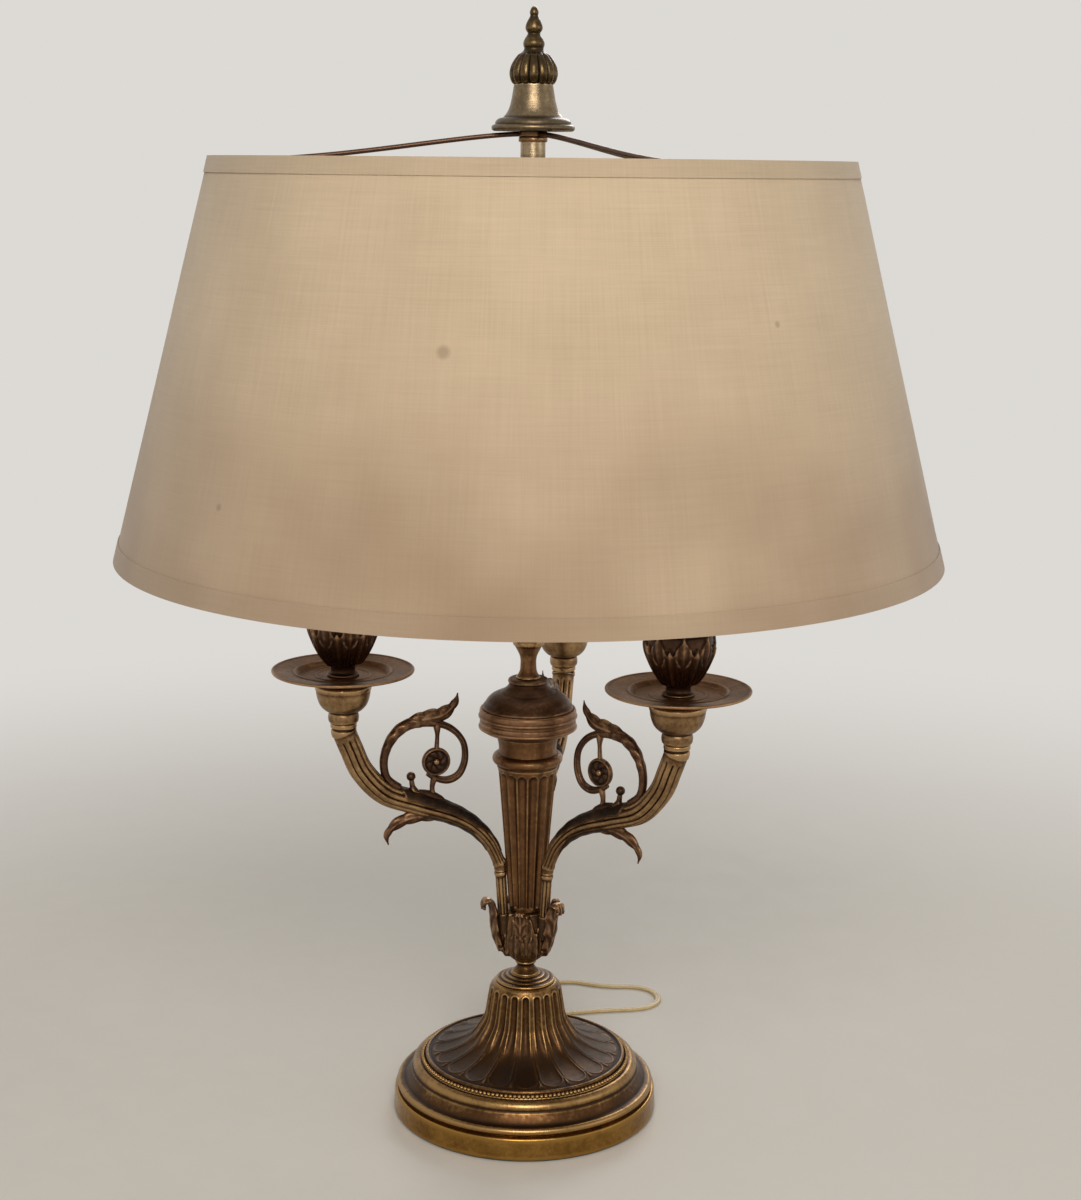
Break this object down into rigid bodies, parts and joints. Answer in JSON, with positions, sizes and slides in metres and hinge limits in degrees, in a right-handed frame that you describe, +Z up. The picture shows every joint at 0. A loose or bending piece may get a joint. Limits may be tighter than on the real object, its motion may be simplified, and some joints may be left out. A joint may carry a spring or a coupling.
{
  "type": "bouillotte lamp",
  "caption": "Bouillotte table lamp: fluted bronze column with candle arms and drip pans under one wide linen drum shade on a central stem, with finial, flex, rocker switch and plug.",
  "frame": {"origin": "centre of the foot's underside, on the table, on the axis of the column", "axes": "+Z up along the column; +Y towards the back, where the cord leaves the foot; +X to the right seen from the front"},
  "size_m": [0.4819, 0.482, 0.66],
  "materials": {
    "aged_bronze": "cast bronze, brown patina with rubbed golden edges, satin",
    "dark_bronze": "cast bronze, dark brown patina, satin",
    "polished_brass": "polished, slightly tarnished",
    "steel": "plain turned and threaded steel",
    "iron": "rough cast",
    "felt": "pressed wool felt",
    "linen": "beige linen laminated to a stiff backing, slightly stained",
    "gold_flex": "clear gold insulation over copper",
    "brown_plastic": "moulded, semi-gloss",
    "ivory_sleeve": "waxy ivory tube",
    "black_plastic": "moulded, matte",
    "bulb_glass": "frosted glass"
  },
  "bodies": {
    "lamp": {"felt_pad": "felt", "foot_band": "polished_brass", "foot_plinth": "aged_bronze", "bead_ring": "aged_bronze", "foot_dome": "aged_bronze", "weight_plate": "iron", "plate_screws": "steel", "dome_collar": "aged_bronze", "neck_spool": "aged_bronze", "clamp_nuts": "steel", "foot_tube": "steel", "cord_bushing": "brown_plastic", "calyx": "aged_bronze", "calyx_leaves": "dark_bronze", "column_shaft": "aged_bronze", "column_necking": "aged_bronze", "cap_drum": "aged_bronze", "cap_dome": "dark_bronze", "stem_spool": "aged_bronze", "centre_rod": "steel", "stem_tube": "aged_bronze", "stem_collar": "dark_bronze", "arm_left": "aged_bronze", "arm_right": "aged_bronze", "arm_rear": "aged_bronze", "scroll_left": "dark_bronze", "scroll_right": "dark_bronze", "scroll_rear": "dark_bronze", "arm_stalks": "aged_bronze", "pan_cups": "aged_bronze", "drip_pan_left": "dark_bronze", "drip_pan_right": "dark_bronze", "drip_pan_rear": "dark_bronze", "candle_cup_left": "dark_bronze", "candle_cup_right": "dark_bronze", "candle_cup_rear": "dark_bronze", "candle_sleeves": "ivory_sleeve", "lampholders": "black_plastic", "bulb_caps": "polished_brass", "bulb_globes": "bulb_glass", "arm_nipples": "steel", "arm_wires": "gold_flex", "feed_wire": "gold_flex", "wire_splice": "black_plastic", "cord_lead": "gold_flex", "cord_coil": "gold_flex", "cord_tie": "black_plastic", "switch_base": "brown_plastic", "switch_cover": "brown_plastic", "plug_body": "brown_plastic", "plug_pins": "polished_brass"},
    "shade": {"spider_hub": "dark_bronze", "spider_wires": "dark_bronze", "shade_top_ring": "dark_bronze", "shade_bottom_ring": "dark_bronze", "shade_cover": "linen", "shade_trims": "linen"},
    "finial_bell": {"finial_bell": "polished_brass"},
    "finial_knob": {"finial_knob": "dark_bronze"},
    "switch_rocker": {"switch_rocker": "brown_plastic"}
  },
  "joints": [
    {"name": "shade_turn", "type": "hinge", "parent": "lamp", "child": "shade", "pos_m": [0, 0, 0.5886], "axis": [0, 0, 1], "continuous": true},
    {"name": "finial_lift", "type": "slide", "parent": "lamp", "child": "finial_bell", "axis": [0, 0, 1], "range_m": [0, 0.01]},
    {"name": "finial_turn", "type": "hinge", "parent": "finial_bell", "child": "finial_knob", "pos_m": [0, 0, 0.6178], "axis": [0, 0, 1], "range_deg": [0, 3600]},
    {"name": "rocker_tilt", "type": "hinge", "parent": "lamp", "child": "switch_rocker", "pos_m": [0, 0.162, 0.007], "axis": [0.8192, -0.5736, 0], "range_deg": [0, 20]}
  ],
  "couplings": [
    {"joint": "finial_turn", "follows": "finial_lift", "rad_per_m": 6283.2}
  ]
}
